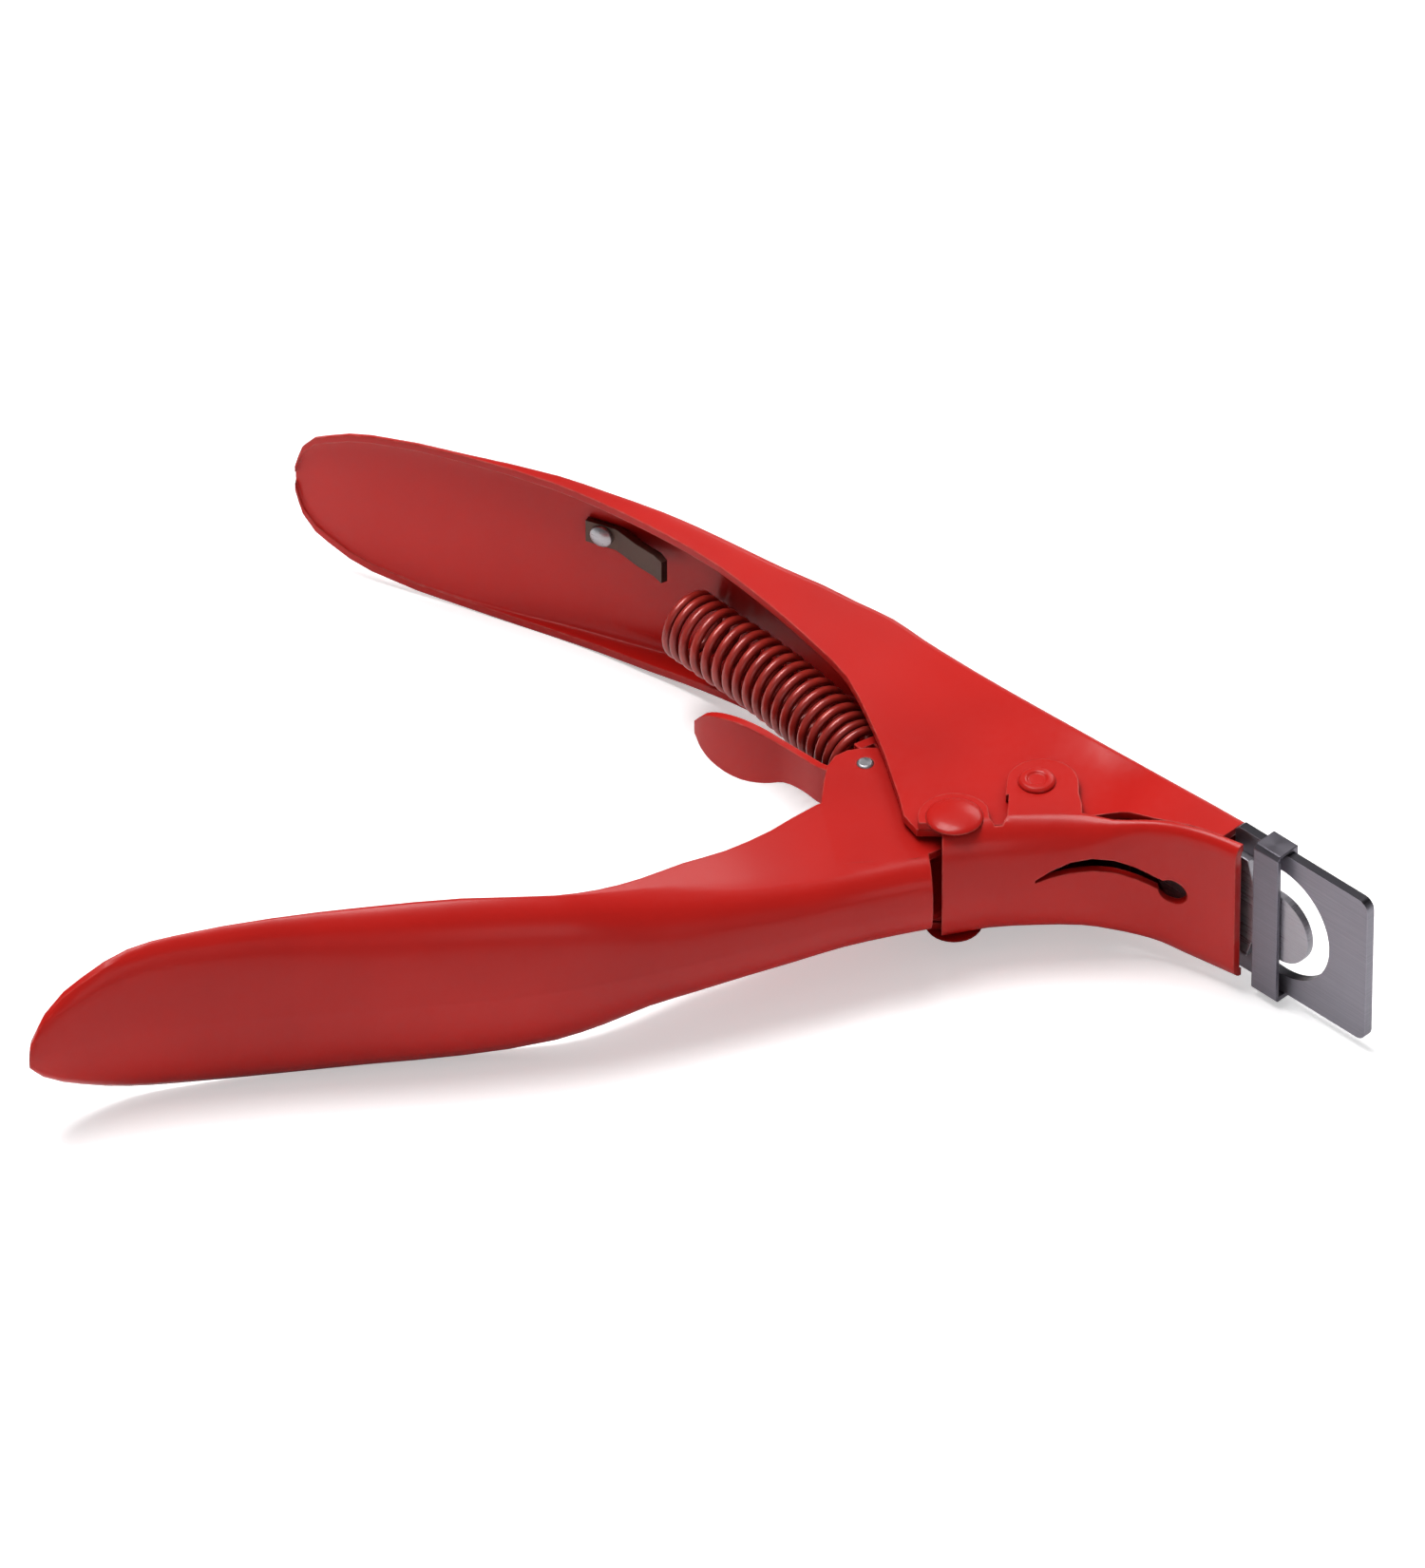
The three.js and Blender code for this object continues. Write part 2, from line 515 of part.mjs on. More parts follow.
const DRIVE_PIN_HALF = LEVER_HALF + 0.1;
add("drive_pin",
  cylinderZ(DRIVE_X, DRIVE_Y, DRIVE_R, -DRIVE_PIN_HALF, DRIVE_PIN_HALF, PIN_SEG), DARK);
add("drive_roller",
  cut(betweenWalls(DRIVE_X, DRIVE_Y, ROLLER_R, PIN_SEG), driveHole()), STEEL);

const LATCH_PIN_LENGTH = 9.6;
const LATCH_PIN_TIP_R = 0.7;
const LATCH_PIN_CHAMFER = 0.15;
add("latch_pin", turned([
  [0, 0], [LATCH_PIN_TIP_R, 0], [LATCH_PIN_R, LATCH_PIN_CHAMFER],
  [LATCH_PIN_R, LATCH_PIN_LENGTH - LATCH_PIN_CHAMFER],
  [LATCH_PIN_TIP_R, LATCH_PIN_LENGTH], [0, LATCH_PIN_LENGTH],
], [LATCH_X, LATCH_Y, -LATCH_PIN_LENGTH / 2], Z_AXIS, PIN_SEG), STEEL);

// ---- return spring and its seat on the lever ----
const SEAT = [-17.5, 11.1];
const atSeat = planeFrame(SEAT, [0.537, -0.844]); // along: from the anchor to the seat
add("spring_seat", prismXY([
  atSeat(0.05, -1.5), atSeat(0.05, 1.5), atSeat(1.2, 1.6),
  [-14.3, 8.6], [-13.9, 6.2], [-15.0, 5.9], [-15.35, 8.2],
  atSeat(1.25, 0.2), atSeat(1.2, -1.5),
], -LEVER_INNER, LEVER_INNER), RED);

const COIL_R = 3.45;          // mean coil radius
const WIRE_R = 0.5;
const COILS = 19;
const STEPS_PER_COIL = 14;
const COIL_START = 0.012;     // share of the axis curve before the first coil
const COIL_SPAN = 0.962;      // share of the axis curve the coils cover
const SPRING_AXIS = new THREE.CatmullRomCurve3([ // [x, y]
  [-36.3, 34.6], [-33.0, 31.0], [-28.6, 26.3], [-24.2, 21.0], [-20.4, 15.6], SEAT,
].map(([x, y]) => new THREE.Vector3(x, y, 0)));
class Helix extends THREE.Curve {
  getPoint(t, target = new THREE.Vector3()) {
    const share = COIL_START + COIL_SPAN * t;
    const tangent = SPRING_AXIS.getTangentAt(share);
    const normal = new THREE.Vector3(-tangent.y, tangent.x, 0);
    const angle = t * COILS * Math.PI * 2;
    target.copy(SPRING_AXIS.getPointAt(share));
    target.addScaledVector(normal, COIL_R * Math.cos(angle));
    target.z += COIL_R * Math.sin(angle);
    return target;
  }
}
add("return_spring", solid(new THREE.ExtrudeGeometry(
  new THREE.Shape(vectors(circle(WIRE_R, 7))),
  { steps: COILS * STEPS_PER_COIL, bevelEnabled: false, extrudePath: new Helix() })), DARK);

// ---- blade, yoke, blade rivets ----
const BLADE_RIVETS_U = [3.2, 7.6];
const BLADE_RIVET_R = 0.8;
const bladeRivetHoles = () => BLADE_RIVETS_U.map((u) => boreN(u, 0, BLADE_RIVET_R, 3, 9));
const BLADE_OUTLINE = mirrored( // [u, z]
  [[0.72, -SHANK_HALF], [11.0, -SHANK_HALF], [13.4, -6.4], [23.6, -6.4], [24.3, -TONGUE_HALF]],
  arc(TONGUE_APEX - TONGUE_HALF, 0, TONGUE_HALF, -90, 90, 28));
add("blade",
  cut(prismUZ(BLADE_OUTLINE, BLADE_BOTTOM, BLADE_TOP), ...bladeRivetHoles()), STEEL);

const YOKE_BOTTOM = 3.9;
const YOKE_TOP = 8.0;
const YOKE_END = 9.6;
const FORK_FLOOR = 4.9;
const FORK_HALF = 1.35;       // gap for the drive roller
const FORK_BACK = DRIVE_U - 2.45;
const FORK_FRONT = DRIVE_U + 2.454;
const YOKE_PROFILE = [ // [u, n]
  [FORK_BACK, YOKE_BOTTOM], [YOKE_END, YOKE_BOTTOM], [YOKE_END, BLADE_BOTTOM],
  [FORK_FRONT, BLADE_BOTTOM], [FORK_FRONT, YOKE_TOP],
  [DRIVE_U + FORK_HALF, YOKE_TOP], [DRIVE_U + FORK_HALF, FORK_FLOOR],
  [DRIVE_U - FORK_HALF, FORK_FLOOR], [DRIVE_U - FORK_HALF, YOKE_TOP], [FORK_BACK, YOKE_TOP],
].map(([u, n]) => onNose(u, n));
add("blade_yoke",
  cut(prismXY(YOKE_PROFILE, -SHANK_HALF, SHANK_HALF), ...bladeRivetHoles()), DARK);

const BLADE_RIVET_HEAD = 0.45;
const BLADE_RIVET_BASE = YOKE_BOTTOM - BLADE_RIVET_HEAD;
const BLADE_RIVET_LENGTH = BLADE_TOP - BLADE_RIVET_BASE;
const BLADE_RIVET = [ // [radius, height]
  [0, 0], [1.1, 0.12], [1.25, BLADE_RIVET_HEAD], [BLADE_RIVET_R, BLADE_RIVET_HEAD],
  [BLADE_RIVET_R, BLADE_RIVET_LENGTH], [0, BLADE_RIVET_LENGTH],
];
BLADE_RIVETS_U.forEach((u, i) => {
  const base = [...onNose(u, BLADE_RIVET_BASE), 0];
  add(`blade_rivet_${i + 1}`, turned(BLADE_RIVET, base, NOSE_NORMAL, PIN_SEG), STEEL);
});

// ---- spring anchor: a tab riveted to the frame spine, reaching to the first coil ----
const TAB_OUTLINE = [ // [depth below the spine, distance across]
  [1.05, -1.9], [1.05, 1.6], [1.3, 2.8], [2.4, 5.2], [3.2, 7.6], [4.0, 8.6],
  [4.6, 8.2], [3.9, 7.0], [3.1, 4.6], [2.0, 2.2], [1.75, 1.6], [1.75, -1.9],
].map(([depth, across]) => atAnchor(depth, across));
add("spring_anchor_tab", cut(prismXY(TAB_OUTLINE, 3.2, 6.0), anchorBore(6)), DARK);
add("spring_anchor_rivet", turned([
  [0, 0], [ANCHOR_RIVET_R, 0], [ANCHOR_RIVET_R, 1.75], [1.3, 1.75],
  [1.25, 2.1], [0.9, 2.35], [0, 2.45],
], [...atAnchor(0, 0), ANCHOR_Z], ANCHOR_DIR, ANCHOR_SEG), STEEL);

// ---- safety latch ----
const LATCH_STRIP = [ // [x, y, half width, thickness]
  [-17.6, 7.45, 2.5, 0.8], [-19.6, 7.35, 2.5, 0.8], [-21.6, 7.9, 2.4, 0.8],
  [-23.8, 10.0, 2.2, 0.8], [-25.8, 11.6, 2.4, 0.8], [-27.8, 12.5, 3.2, 0.9],
  [-30.2, 13.7, 3.7, 0.9], [-32.6, 15.3, 3.3, 0.9], [-34.2, 16.7, 2.2, 0.8],
  [-35.0, 17.6, 0.8, 0.6],
];
const latchBarrel = cylinderZ(LATCH_X, LATCH_Y, 1.85, -2.5, 2.5, EAR_SEG);
add("safety_latch", cut(join(latchBarrel, strip(LATCH_STRIP, 3)), latchHole(1.2)), RED);

const WASHER_R = 1.7;
const WASHER_INNER = 2.8;     // washer face towards the mid plane
for (const [name, side] of SIDES) {
  const [z0, z1] = side > 0 ? [WASHER_INNER, LEVER_INNER] : [-LEVER_INNER, -WASHER_INNER];
  add(`latch_washer_${name}`, cut(
    cylinderZ(LATCH_X, LATCH_Y, WASHER_R, z0, z1, PIN_SEG), latchHole(LATCH_PIN_R)), STEEL);
}

export default group;
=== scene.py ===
"""Hand tool with red handles, lying flat: its thickness runs along Z, its outline in XY.

The CAD pieces get procedural paints and steels, softened edges and a modelled return
spring. A pale floor, a sky, three area lights and a camera on the -Y side complete the scene.
Lengths are in mm and are multiplied by MM, except on the stage, which is in metres.
"""
import math
import bpy
import numpy as np
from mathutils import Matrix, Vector


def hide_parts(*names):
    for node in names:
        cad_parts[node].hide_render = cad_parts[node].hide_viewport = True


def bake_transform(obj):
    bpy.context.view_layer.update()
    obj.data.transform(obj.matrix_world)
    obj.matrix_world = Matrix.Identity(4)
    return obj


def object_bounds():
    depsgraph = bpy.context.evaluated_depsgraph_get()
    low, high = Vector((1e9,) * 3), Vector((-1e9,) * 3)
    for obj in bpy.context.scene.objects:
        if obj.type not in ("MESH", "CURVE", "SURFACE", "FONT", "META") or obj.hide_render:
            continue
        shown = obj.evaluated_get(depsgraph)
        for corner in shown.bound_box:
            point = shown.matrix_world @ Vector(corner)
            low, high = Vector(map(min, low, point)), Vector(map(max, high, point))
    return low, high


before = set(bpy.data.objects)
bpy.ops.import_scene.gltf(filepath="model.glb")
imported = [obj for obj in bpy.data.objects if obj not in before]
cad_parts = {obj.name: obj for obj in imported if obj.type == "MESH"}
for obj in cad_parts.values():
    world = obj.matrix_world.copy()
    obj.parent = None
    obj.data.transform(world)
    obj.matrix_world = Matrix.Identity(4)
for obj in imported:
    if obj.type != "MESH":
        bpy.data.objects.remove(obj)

MM = 0.001
MIDDLE_Z = 8.05                      # middle plane of the tool above the lower rivet face
NOSE_ANGLE = math.radians(-44.0)     # direction of the brushing on the nose parts

scene = bpy.context.scene
cad_low, cad_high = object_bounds()


# ---------------------------------------------------------------- node graphs
class Graph:
    """Short ways to add nodes to a tree; most methods return an output socket."""

    def __init__(self, tree):
        self.tree = tree

    def feed(self, socket, value):
        """Link another socket, or store a constant (colours are given as RGB)."""
        if isinstance(value, bpy.types.NodeSocket):
            self.tree.links.new(value, socket)
        else:
            socket.default_value = (*value, 1) if socket.type == "RGBA" else value

    def node(self, kind, inputs=None, **properties):
        node = self.tree.nodes.new(kind)
        for key, value in properties.items():
            setattr(node, key, value)
        for key, value in (inputs or {}).items():
            self.feed(node.inputs[key], value)
        return node

    def coords(self, rotation=0.0, stretch=(1, 1, 1)):
        """Object coordinates in mm, turned about Z and stretched along each axis."""
        source = self.node("ShaderNodeTexCoord")
        mapping = self.node("ShaderNodeMapping", {
            "Rotation": (0, 0, rotation),
            "Scale": tuple(size * MM for size in stretch),
            "Vector": source.outputs["Object"],
        }, vector_type="TEXTURE")
        return mapping.outputs["Vector"]

    def noise(self, vector, scale, detail=3.0, roughness=0.55):
        return self.node("ShaderNodeTexNoise", {
            "Scale": scale, "Detail": detail, "Roughness": roughness, "Vector": vector,
        }).outputs["Fac"]

    def ramp(self, factor, stops):
        """Colour ramp through stops of (position, RGB)."""
        node = self.node("ShaderNodeValToRGB", {"Fac": factor})
        elements = node.color_ramp.elements
        while len(elements) < len(stops):
            elements.new(0.5)
        for element, (position, colour) in zip(elements, stops):
            element.position = position
            element.color = (*colour, 1)
        return node.outputs["Color"]

    def mix(self, factor, first, second):
        # sockets 6 and 7 are the colour pair A and B
        inputs = {"Factor": factor, 6: first, 7: second}
        return self.node("ShaderNodeMix", inputs, data_type="RGBA").outputs[2]

    def remap(self, value, span, to):
        return self.node("ShaderNodeMapRange", {
            "From Min": span[0], "From Max": span[1],
            "To Min": to[0], "To Max": to[1], "Value": value,
        }).outputs["Result"]

    def calc(self, operation, first, second):
        inputs = {0: first, 1: second}
        return self.node("ShaderNodeMath", inputs, operation=operation).outputs[0]

    def edge(self, radius):
        """Mask that is 1 along sharp edges and 0 on open surfaces, and the softened normal."""
        bevel = self.node("ShaderNodeBevel", {"Radius": radius * MM}, samples=6)
        geometry = self.node("ShaderNodeNewGeometry")
        soft = bevel.outputs["Normal"]
        agreement = self.node("ShaderNodeVectorMath", {0: soft, 1: geometry.outputs["Normal"]},
                              operation="DOT_PRODUCT")
        mask = self.remap(agreement.outputs["Value"], span=(0.995, 0.90), to=(0.0, 1.0))
        return mask, soft

    def paint_crevice_shade(self, base, reach, span, amount, colour):
        """Painted shade: mix towards a dark colour where surfaces closer than reach occlude each
        other.
        """
        occlusion = self.node("ShaderNodeAmbientOcclusion", {"Distance": reach * MM}, samples=6)
        mask = self.remap(occlusion.outputs["AO"], span=span, to=(amount, 0.0))
        return self.mix(mask, base, colour)

    def bump(self, height, strength, distance, normal=None):
        inputs = {"Strength": strength, "Distance": distance * MM, "Height": height}
        if normal is not None:
            inputs["Normal"] = normal
        return self.node("ShaderNodeBump", inputs).outputs["Normal"]


class MaterialGraph(Graph):
    """Graph of a new material built on one Principled shader."""

    def __init__(self, name):
        self.material = bpy.data.materials.new(name)
        self.material.use_nodes = True
        super().__init__(self.material.node_tree)
        self.tree.nodes.clear()
        output = self.node("ShaderNodeOutputMaterial")
        self.shader = self.node("ShaderNodeBsdfPrincipled")
        self.feed(output.inputs["Surface"], self.shader.outputs[0])

    def finish(self, inputs):
        """Fill the Principled inputs and return the material."""
        for key, value in inputs.items():
            self.feed(self.shader.inputs[key], value)
        return self.material


# ---------------------------------------------------------------- materials
def red_paint():
    """Gloss paint with faint specks, edges lightened partly by wear and partly by a painted
    highlight, and painted shade in the crevices.
    """
    g = MaterialGraph("red_paint_gloss")
    position = g.coords()
    broad = g.noise(position, scale=0.035, detail=2.0)
    fine = g.noise(position, scale=1.6)
    specks = g.noise(position, scale=5.5, detail=2.0, roughness=0.7)
    base = g.ramp(broad, [
        (0.30, (0.46, 0.008, 0.005)),
        (0.55, (0.55, 0.011, 0.007)),
        (0.75, (0.60, 0.015, 0.010)),
    ])
    speck_mask = g.remap(specks, span=(0.70, 0.80), to=(0.0, 0.35))
    base = g.mix(speck_mask, base, (0.34, 0.008, 0.008))

    edge, soft_normal = g.edge(radius=0.28)
    patches = g.noise(position, scale=0.9, detail=4.0)
    edge_wear_and_highlight = g.calc("MULTIPLY", edge, g.remap(patches, span=(0.35, 0.7), to=(0.05, 0.55)))
    # lighter pinkish edges: partly real wear of the thin paint, partly a painted highlight along
    # the edges
    base = g.mix(edge_wear_and_highlight, base, (0.74, 0.16, 0.13))
    # painted shade: the red darkens where parts crowd each other in the crevices
    base = g.paint_crevice_shade(base, reach=6, span=(0.2, 0.85), amount=0.62,
                             colour=(0.18, 0.004, 0.005))

    roughness = g.remap(fine, span=(0.3, 0.7), to=(0.27, 0.36))
    return g.finish({
        "Base Color": base,
        "Roughness": g.calc("ADD", roughness, g.calc("MULTIPLY", specks, 0.04)),
        "Specular IOR Level": 0.22,
        "Coat Weight": 0.16,
        "Coat Roughness": 0.16,
        "Normal": g.bump(fine, strength=0.10, distance=0.02, normal=soft_normal),
    })


def red_wire_paint():
    """Darker red of the spring wire, with painted shade making it nearly black between the
    coils.
    """
    g = MaterialGraph("red_wire_paint")
    position = g.coords()
    broad = g.noise(position, scale=0.5)
    fine = g.noise(position, scale=3.0)
    base = g.ramp(broad, [
        (0.3, (0.30, 0.018, 0.012)),
        (0.6, (0.42, 0.030, 0.020)),
        (0.8, (0.50, 0.05, 0.03)),
    ])
    # painted shade: the wire goes nearly black between the coils
    base = g.paint_crevice_shade(base, reach=2.5, span=(0.2, 0.95), amount=0.85,
                             colour=(0.06, 0.003, 0.003))
    return g.finish({
        "Base Color": base,
        "Roughness": g.remap(fine, span=(0.3, 0.7), to=(0.28, 0.42)),
        "Metallic": 0.15,
        "Coat Weight": 0.4,
        "Coat Roughness": 0.2,
        "Normal": g.bump(fine, strength=0.12, distance=0.02),
    })


def tinted(colour, red, green, blue):
    return (colour[0] * red, colour[1] * green, colour[2] * blue)


def shaded(colour, factor):
    return tinted(colour, factor, factor, factor)


def steel(name, tint, roughness, rotation=NOSE_ANGLE, stretch=(14, 14, 0.10),
          line_strength=0.35, top_dark_reflection=0.0):
    """Brushed steel; stretch sizes the grain in mm; the top dark reflection paints the faces
    towards +Z near black as a painted dark reflection.
    """
    g = MaterialGraph(name)
    brush = g.noise(g.coords(rotation, stretch), scale=1.0, detail=5.0, roughness=0.65)
    position = g.coords()
    cloud = g.noise(position, scale=0.22)
    stain = g.noise(position, scale=0.9, detail=5.0, roughness=0.7)
    brush_mask = g.remap(brush, span=(0.3, 0.7), to=(0.0, 1.0))
    base = g.mix(brush_mask, shaded(tint, 0.82), shaded(tint, 1.12))
    cloud_mask = g.remap(cloud, span=(0.45, 0.75), to=(0.0, 0.35))
    base = g.mix(cloud_mask, base, shaded(tint, 0.75))
    stain_mask = g.remap(stain, span=(0.66, 0.78), to=(0.0, 0.30))
    base = g.mix(stain_mask, base, tinted(tint, 0.55, 0.48, 0.42))

    edge, soft_normal = g.edge(radius=0.16)
    # painted highlight: a lighter tint along the sharp edges
    base = g.mix(g.calc("MULTIPLY", edge, 0.5), base, shaded(tint, 1.5))
    # painted dark reflection: faces towards +Z are mixed towards near black
    if top_dark_reflection > 0:
        geometry = g.node("ShaderNodeNewGeometry")
        normal = g.node("ShaderNodeSeparateXYZ", {0: geometry.outputs["Normal"]})
        top_reflection_mask = g.remap(normal.outputs["Z"], span=(0.55, 0.85), to=(0.0, top_dark_reflection))
        base = g.mix(top_reflection_mask, base, (0.022, 0.020, 0.024))

    return g.finish({
        "Base Color": base,
        "Metallic": 0.92,
        "Roughness": g.remap(brush, span=(0.3, 0.7), to=roughness),
        "Anisotropic": 0.35,
        "Normal": g.bump(brush, strength=line_strength, distance=0.012, normal=soft_normal),
    })


def pale_floor():
    """Matt near-white, lifted by a glow that only the camera sees."""
    g = MaterialGraph("pale_floor")
    broad = g.noise(g.coords(), scale=0.02)
    base = g.ramp(broad, [(0.3, (0.90, 0.90, 0.905)), (0.7, (0.94, 0.94, 0.94))])
    light_path = g.node("ShaderNodeLightPath")
    return g.finish({
        "Base Color": base,
        "Roughness": 0.75,
        "Emission Color": (1, 1, 1),
        "Emission Strength": g.calc("MULTIPLY", light_path.outputs["Is Camera Ray"], 0.42),
        "Specular IOR Level": 0.15,
    })


RED = red_paint()
RED_WIRE = red_wire_paint()
PLATE = steel("plate_steel_brushed", tint=(0.29, 0.275, 0.315), roughness=(0.34, 0.48),
              top_dark_reflection=0.92)
STRAP = steel("strap_steel_brushed", tint=(0.225, 0.21, 0.245), roughness=(0.34, 0.5),
              top_dark_reflection=0.55)
BLADE = steel("blade_steel_ground", tint=(0.40, 0.385, 0.42), roughness=(0.24, 0.38),
              stretch=(9, 9, 0.07), line_strength=0.25)
PIN = steel("pin_steel_turned", tint=(0.44, 0.43, 0.45), roughness=(0.25, 0.4),
            rotation=0.0, stretch=(1.2, 1.2, 0.15), line_strength=0.2)
DARK = steel("spring_steel_oiled", tint=(0.16, 0.148, 0.15), roughness=(0.28, 0.44),
             rotation=0.6, stretch=(0.8, 0.8, 0.8), line_strength=0.3)
# the tab's dark brown tint is painted shade, standing for the shadow of the near wall that the
# tab sits in
SHADED_TAB_STEEL = steel("tab_steel_painted_shade", tint=(0.10, 0.062, 0.05), roughness=(0.32, 0.5),
              rotation=0.6, stretch=(3, 0.15, 0.15), line_strength=0.3)


# ---------------------------------------------------------------- CAD pieces
PARTS_BY_MATERIAL = (
    (RED, "frame_handle nose_channel lever_handle safety_latch pivot_rivet spring_seat "
          "channel_rivet_near channel_rivet_far plate_rivet_near plate_rivet_far"),
    (PLATE, "aperture_plate"),
    (STRAP, "blade_guide_strap"),
    (BLADE, "blade"),
    (PIN, "drive_pin drive_roller latch_pin pivot_spacer latch_washer_near latch_washer_far "
          "spring_anchor_rivet blade_rivet_1 blade_rivet_2"),
    (DARK, "blade_yoke return_spring"),
    (SHADED_TAB_STEEL, "spring_anchor_tab"),
)
MATERIAL_OF = {part: material for material, parts in PARTS_BY_MATERIAL for part in parts.split()}

# bevel width of each piece with softened edges, mm
BEVEL_WIDTH = {
    "aperture_plate": 0.12, "blade": 0.08, "blade_guide_strap": 0.14, "pivot_rivet": 0.1,
    "spring_seat": 0.12, "blade_yoke": 0.15, "pivot_spacer": 0.12, "latch_washer_near": 0.1,
    "latch_washer_far": 0.1, "drive_pin": 0.1, "drive_roller": 0.1,
}
WELD_DISTANCE = 0.002
SHARP_ANGLE = math.radians(34)       # steeper edges stay sharp in the shading
BEVEL_ANGLE = math.radians(40)       # steeper edges are bevelled


def weld_and_smooth_group():
    """Geometry nodes that weld loose vertices and shade smooth between sharp edges."""
    group = bpy.data.node_groups.new("weld_and_smooth", "GeometryNodeTree")
    for direction in ("INPUT", "OUTPUT"):
        group.interface.new_socket("Geometry", in_out=direction,
                                   socket_type="NodeSocketGeometry")
    g = Graph(group)
    source = g.node("NodeGroupInput")
    result = g.node("NodeGroupOutput")
    weld = g.node("GeometryNodeMergeByDistance", {
        "Geometry": source.outputs[0], "Distance": WELD_DISTANCE * MM,
    })
    angle = g.node("GeometryNodeInputMeshEdgeAngle")
    sharp = g.node("FunctionNodeCompare", {0: angle.outputs["Unsigned Angle"], 1: SHARP_ANGLE},
                   data_type="FLOAT", operation="GREATER_THAN")
    faces = g.node("GeometryNodeSetShadeSmooth", {"Geometry": weld.outputs["Geometry"]},
                   domain="FACE")
    edges = g.node("GeometryNodeSetShadeSmooth", {
        "Geometry": faces.outputs["Geometry"],
        "Selection": sharp.outputs["Result"],
        "Shade Smooth": False,
    }, domain="EDGE")
    g.feed(result.inputs[0], edges.outputs["Geometry"])
    return group


def dress(name, piece, smooth_group):
    """Give a CAD piece its material, shading and softened edges."""
    mesh = piece.data
    mesh.materials.clear()
    mesh.materials.append(MATERIAL_OF[name])
    # stored normals would override the smoothing
    if "custom_normal" in mesh.attributes:
        mesh.attributes.remove(mesh.attributes["custom_normal"])
    piece.modifiers.new("weld_and_smooth", "NODES").node_group = smooth_group
    if name in BEVEL_WIDTH:
        bevel = piece.modifiers.new("edge", "BEVEL")
        bevel.width = BEVEL_WIDTH[name] * MM
        bevel.segments = 2
        bevel.limit_method = "ANGLE"
        bevel.angle_limit = BEVEL_ANGLE
        bevel.harden_normals = False
    weighted = piece.modifiers.new("weighted", "WEIGHTED_NORMAL")
    weighted.keep_sharp = True
    weighted.weight = 50


smooth_group = weld_and_smooth_group()
for name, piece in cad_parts.items():
    dress(name, piece, smooth_group)


# ---------------------------------------------------------------- mesh helpers
def mesh_object(name, vertices, faces, material, smooth=True):
    mesh = bpy.data.meshes.new(name)
    mesh.from_pydata([tuple(vertex) for vertex in vertices], [], faces)
    mesh.materials.append(material)
    mesh.update()
    for polygon in mesh.polygons:
        polygon.use_smooth = smooth
    made = bpy.data.objects.new(name, mesh)
    scene.collection.objects.link(made)
    return made


def unit_tangents(points):
    tangents = np.gradient(points, axis=0)
    return tangents / np.linalg.norm(tangents, axis=1)[:, None]


def wire(name, points, radius, material, sides, end_scale=0.72):
    """Round wire swept along points in mm, with closed and slightly narrowed ends."""
    tangents = unit_tangents(points)
    across = np.cross(tangents[0], [0.0, 0.0, 1.0])
    last = len(points) - 1
    vertices, faces = [], []
    for i, (point, tangent) in enumerate(zip(points, tangents)):
        # carry the cross direction along, so that the section does not twist
        across = across - tangent * across.dot(tangent)
        across /= np.linalg.norm(across)
        other = np.cross(tangent, across)
        ring_radius = radius * (end_scale if i in (0, last) else 1.0)
        for angle in np.linspace(0, 2 * math.pi, sides, endpoint=False):
            offset = math.cos(angle) * across + math.sin(angle) * other
            vertices.append((point + ring_radius * offset) * MM)
    for i in range(last):
        ring, following = i * sides, (i + 1) * sides
        for k in range(sides):
            k2 = (k + 1) % sides
            faces.append((ring + k, ring + k2, following + k2, following + k))
    faces.append(tuple(range(sides))[::-1])
    faces.append(tuple(last * sides + k for k in range(sides)))
    return mesh_object(name, vertices, faces, material)


def catmull_rom(stations, samples=400, steps_per_span=60):
    """Evenly spaced points on a Catmull-Rom curve through the stations, and its length."""
    knots = np.array(stations, float)
    knots = np.vstack([2 * knots[0] - knots[1], knots, 2 * knots[-1] - knots[-2]])
    dense = []
    for before, start, end, after in zip(knots, knots[1:], knots[2:], knots[3:]):
        for t in np.linspace(0, 1, steps_per_span, endpoint=False):
            dense.append(0.5 * (
                2 * start
                + (-before + end) * t
                + (2 * before - 5 * start + 4 * end - after) * t * t
                + (-before + 3 * start - 3 * end + after) * t ** 3))
    dense.append(knots[-2])
    dense = np.array(dense)
    steps = np.linalg.norm(np.diff(dense, axis=0), axis=1)
    travelled = np.concatenate([[0], np.cumsum(steps)])
    even = np.linspace(0, travelled[-1], samples)
    curve = np.stack([np.interp(even, travelled, column) for column in dense.T], 1)
    return curve, travelled[-1]


# ---------------------------------------------------------------- return spring
# x, y stations of the coil axis in the middle plane, from the frame end to the lever end
SPRING_AXIS = [
    (-36.3, 34.6), (-33.0, 31.0), (-28.6, 26.3), (-24.2, 21.0), (-20.4, 15.6), (-17.5, 11.1),
]
COIL_RADIUS = 3.45                   # to the centre of the wire
WIRE_RADIUS = 0.5
WIRE_SIDES = 14
TURNS = 19
STEPS_PER_TURN = 32
CLOSED_TURNS = 1.3                   # tight turns at each end
CLOSED_PITCH = 1.06
EASE_TURNS = 1.0                     # from the tight turns to the open pitch
EASE_LENGTH = 1.4
END_GAP = 0.05                       # between the wire and each end of the axis


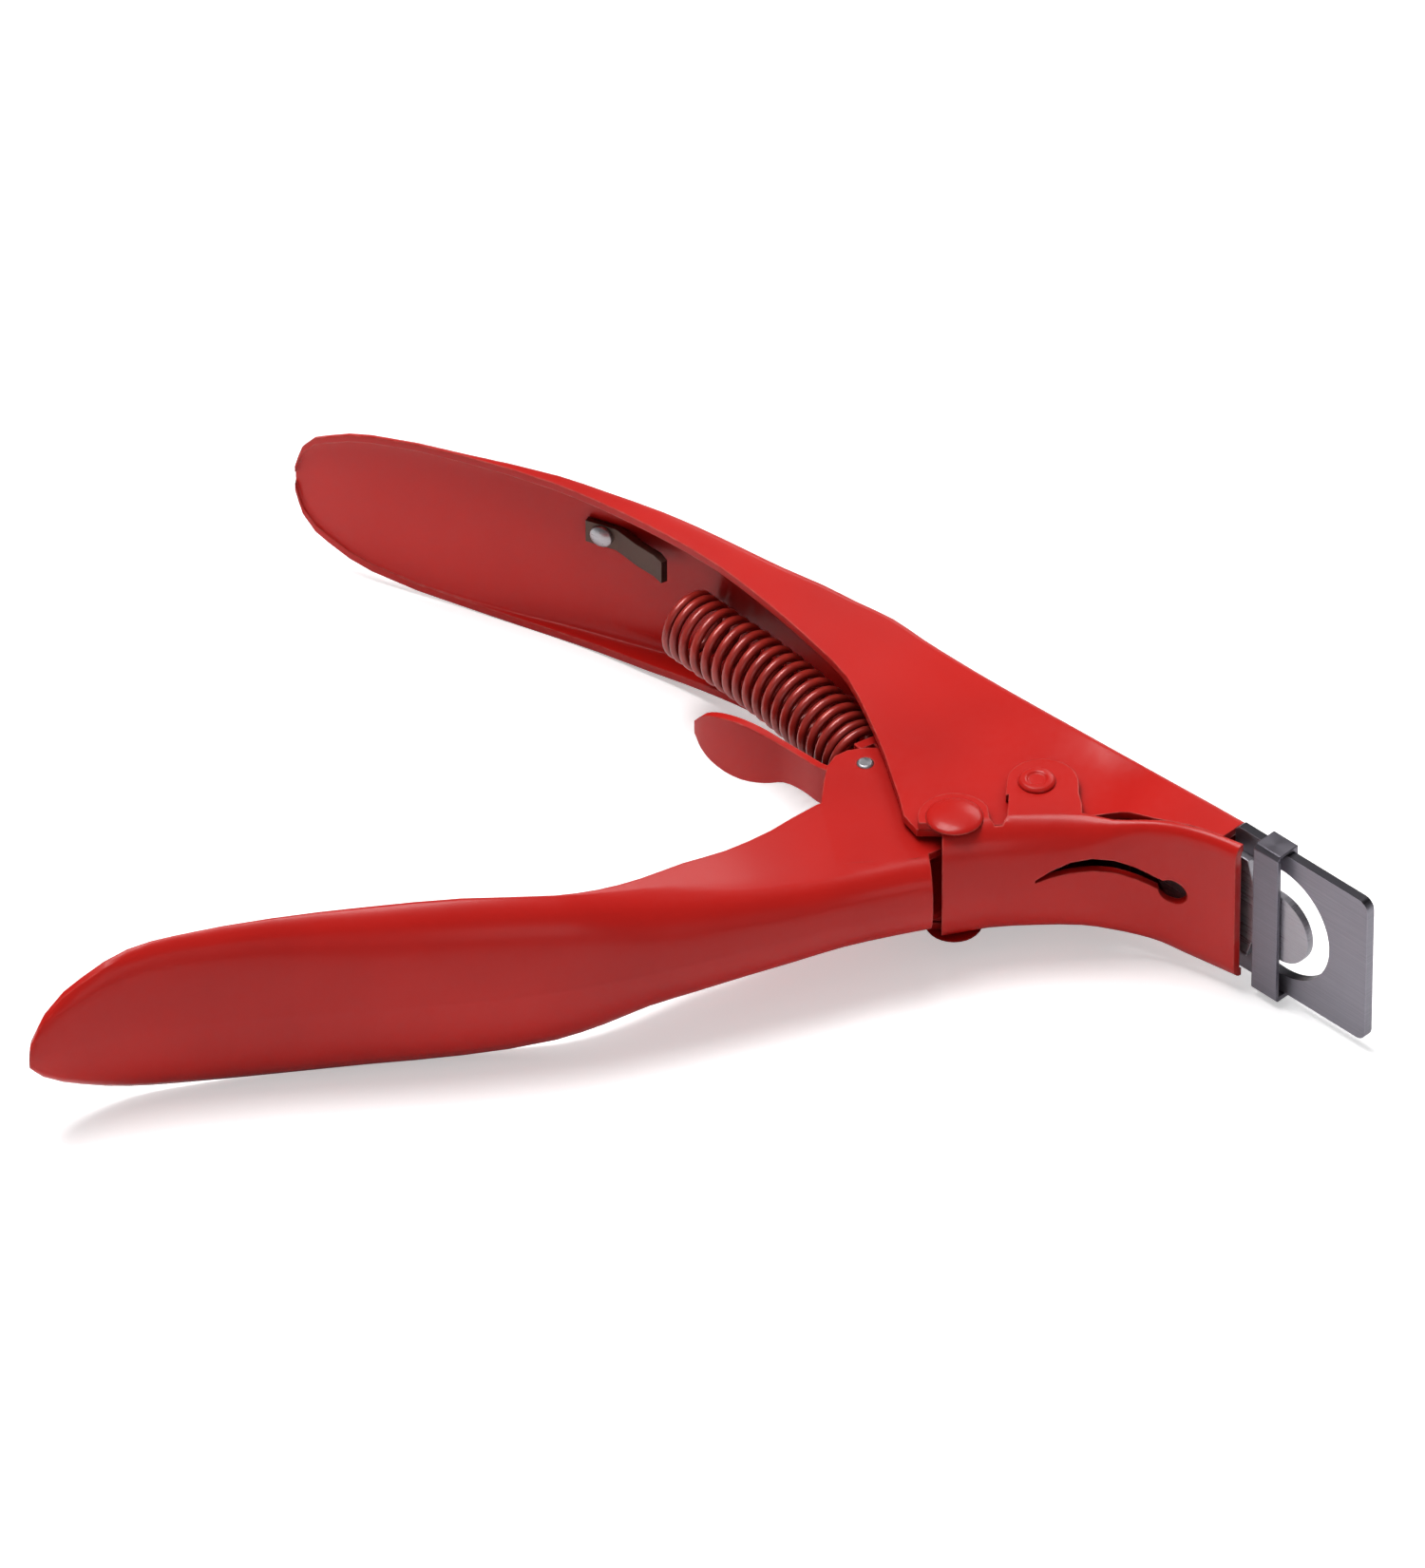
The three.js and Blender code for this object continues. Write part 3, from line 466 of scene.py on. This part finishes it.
def spring_points():
    """Wire centre line: tight at both ends, open in between, around the curved axis."""
    axis, length = catmull_rom(SPRING_AXIS)
    margin = WIRE_RADIUS + END_GAP
    usable = length - 2 * margin
    eased_turns = CLOSED_TURNS + EASE_TURNS
    closed_length = CLOSED_TURNS * CLOSED_PITCH
    eased_length = closed_length + EASE_LENGTH
    turn_knots = [0.0, CLOSED_TURNS, eased_turns,
                  TURNS - eased_turns, TURNS - CLOSED_TURNS, TURNS]
    travel_knots = np.array([0.0, closed_length, eased_length,
                             usable - eased_length, usable - closed_length, usable]) + margin
    turn = np.linspace(0, TURNS, TURNS * STEPS_PER_TURN)
    index = np.interp(turn, turn_knots, travel_knots) / length * (len(axis) - 1)

    def along(values):
        return np.interp(index, np.arange(len(axis)), values)

    direction = unit_tangents(axis)
    angle = turn * 2 * math.pi
    sideways = COIL_RADIUS * np.cos(angle)
    return np.stack([
        along(axis[:, 0]) - along(direction[:, 1]) * sideways,
        along(axis[:, 1]) + along(direction[:, 0]) * sideways,
        MIDDLE_Z + COIL_RADIUS * np.sin(angle),
    ], 1)


spring = wire("return_spring_wire", spring_points(), WIRE_RADIUS, RED_WIRE, WIRE_SIDES)
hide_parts("return_spring")
# the bend is held back towards the lever end, so the closed coils stay inside the frame handle
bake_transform(spring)

# ---------------------------------------------------------------- stage (metres)
FLOOR_HALF = 3
FLOOR_GAP = 0.00005                  # below the lowest CAD point
SKY_STRENGTH = 0.34
GLOSSY_SKY_SHARE = 0.45              # share of the sky that reflections see

# name, location, size, power in watts
LIGHTS = (
    ("key_overhead", (-0.20, 0.15, 0.80), (0.5, 0.4), 6.2),
    ("rim_back", (0.35, 0.75, 0.50), (0.5, 0.3), 1.8),
    ("fill_front", (0.35, -0.85, 0.30), (0.4, 0.3), 0.5),
)

CAMERA_DISTANCE = 2.5
CAMERA_ELEVATION = math.radians(40.0)
CAMERA_TARGET = Vector((-0.0333333, 0.00815992, MIDDLE_Z * MM))
VIEW_LENGTH = 0.1617647              # long side of the view at the target
SENSOR_MM = 36.0


def add_floor():
    z = cad_low.z - FLOOR_GAP
    corners = [(x * FLOOR_HALF, y * FLOOR_HALF, z)
               for x, y in ((-1, -1), (1, -1), (1, 1), (-1, 1))]
    mesh_object("floor", corners, [(0, 1, 2, 3)], pale_floor(), smooth=False)


def add_sky():
    """Grey to white with height, and dimmer in reflections."""
    world = bpy.data.worlds.new("studio")
    scene.world = world
    world.use_nodes = True
    g = Graph(world.node_tree)
    background = g.tree.nodes["Background"]
    source = g.node("ShaderNodeTexCoord")
    direction = g.node("ShaderNodeSeparateXYZ", {0: source.outputs["Generated"]})
    colour = g.ramp(direction.outputs["Z"], [(0.0, (0.55, 0.55, 0.57)), (0.9, (1, 1, 1))])
    g.feed(background.inputs["Color"], colour)
    light_path = g.node("ShaderNodeLightPath")
    strength = g.remap(light_path.outputs["Is Glossy Ray"], span=(0.0, 1.0),
                       to=(SKY_STRENGTH, SKY_STRENGTH * GLOSSY_SKY_SHARE))
    g.feed(background.inputs["Strength"], strength)


def add_area_light(name, location, size, power):
    """Rectangular light aimed at the middle of the tool."""
    light = bpy.data.lights.new(name, "AREA")
    light.shape = "RECTANGLE"
    light.size, light.size_y = size
    light.energy = power
    lamp = bpy.data.objects.new(name, light)
    scene.collection.objects.link(lamp)
    lamp.location = location
    aim = (cad_low + cad_high) / 2 - Vector(location)
    lamp.rotation_euler = aim.to_track_quat("-Z", "Y").to_euler()


def add_camera():
    """Long lens looking towards +Y and down at the target."""
    data = bpy.data.cameras.new("camera")
    camera = bpy.data.objects.new("camera", data)
    scene.collection.objects.link(camera)
    data.sensor_fit = "AUTO"
    data.sensor_width = SENSOR_MM
    data.lens = SENSOR_MM * CAMERA_DISTANCE / VIEW_LENGTH
    data.clip_start, data.clip_end = 0.05, 20.0
    backwards = Vector((0, -math.cos(CAMERA_ELEVATION), math.sin(CAMERA_ELEVATION)))
    camera.location = CAMERA_TARGET + CAMERA_DISTANCE * backwards
    aim = CAMERA_TARGET - camera.location
    camera.rotation_euler = aim.to_track_quat("-Z", "Y").to_euler()
    scene.camera = camera


add_floor()
add_sky()
for row in LIGHTS:
    add_area_light(*row)
add_camera()
scene.view_settings.view_transform = "Standard"
